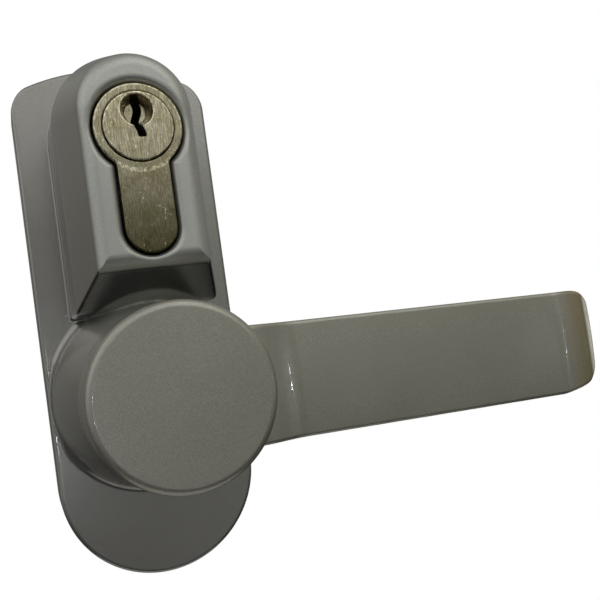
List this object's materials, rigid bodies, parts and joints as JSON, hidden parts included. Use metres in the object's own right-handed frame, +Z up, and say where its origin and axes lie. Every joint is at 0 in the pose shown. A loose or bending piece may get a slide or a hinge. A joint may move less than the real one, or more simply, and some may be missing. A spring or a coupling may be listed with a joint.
{
  "type": "outside lever trim with key cylinder",
  "caption": "Outside door lever trim: long rounded plate with a raised key cylinder housing above a round collar that carries a disc-hubbed lever pointing right.",
  "frame": {"origin": "where the lever's axis meets the door face", "axes": "+Z up, +Y into the door along the lever's axis, +X along the lever arm at rest"},
  "size_m": [0.1147, 0.0958, 0.1152],
  "materials": {
    "cover_paint": "silver metallic lacquer, glossy",
    "lever_paint": "silver metallic lacquer, satin",
    "cylinder_nickel": "satin nickel plate, brushed",
    "plug_nickel": "satin nickel plate, brushed",
    "pin_brass": "bare brass",
    "zinc_steel": "zinc plated",
    "spring_steel": "oiled spring steel",
    "nylon": "natural nylon"
  },
  "bodies": {
    "housing": {"cover": "cover_paint", "back_plate": "zinc_steel", "back_plate_screw_1": "zinc_steel", "back_plate_screw_2": "zinc_steel", "back_plate_screw_3": "zinc_steel", "back_plate_screw_4": "zinc_steel", "upper_fixing_post": "zinc_steel", "lower_fixing_post": "zinc_steel", "cylinder_body": "cylinder_nickel", "pin_chamber_strip": "pin_brass", "cylinder_bracket": "zinc_steel", "cylinder_fixing_screw": "zinc_steel", "slide_guide_stud": "zinc_steel", "detent_ball": "spring_steel", "detent_spring": "spring_steel", "lever_stop_pin": "zinc_steel", "spindle_bush": "nylon", "driver_pin_1": "pin_brass", "driver_pin_2": "pin_brass", "driver_pin_3": "pin_brass", "driver_pin_4": "pin_brass", "driver_pin_5": "pin_brass", "pin_spring_1": "spring_steel", "pin_spring_2": "spring_steel", "pin_spring_3": "spring_steel", "pin_spring_4": "spring_steel", "pin_spring_5": "spring_steel"},
    "lever_assembly": {"lever": "lever_paint", "spindle": "zinc_steel", "spindle_pin": "spring_steel", "follower": "zinc_steel", "thrust_washer": "zinc_steel", "circlip": "spring_steel", "return_spring": "spring_steel"},
    "plug_assembly": {"key_plug": "plug_nickel", "cylinder_cam": "zinc_steel", "cam_clip": "spring_steel", "key_pin_1": "pin_brass", "key_pin_2": "pin_brass", "key_pin_3": "pin_brass", "key_pin_4": "pin_brass", "key_pin_5": "pin_brass"},
    "slide_body": {"locking_slide": "zinc_steel"}
  },
  "joints": [
    {"name": "lever_turn", "type": "hinge", "parent": "housing", "child": "lever_assembly", "pos_m": [0, 0, 0], "axis": [0, 1, 0], "range_deg": [0, 45], "stiffness_Nm_per_rad": 0.6, "springref_deg": -85.94, "deforming": ["return_spring"]},
    {"name": "key_turn", "type": "hinge", "parent": "housing", "child": "plug_assembly", "pos_m": [0, -0.02, 0.05175], "axis": [0, 1, 0], "range_deg": [0, 90]},
    {"name": "lock_slide", "type": "slide", "parent": "housing", "child": "slide_body", "axis": [0, 0, -1], "range_m": [0, 0.006]}
  ],
  "couplings": [
    {"joint": "lock_slide", "follows": "key_turn", "m_per_rad": 0.0038197}
  ]
}
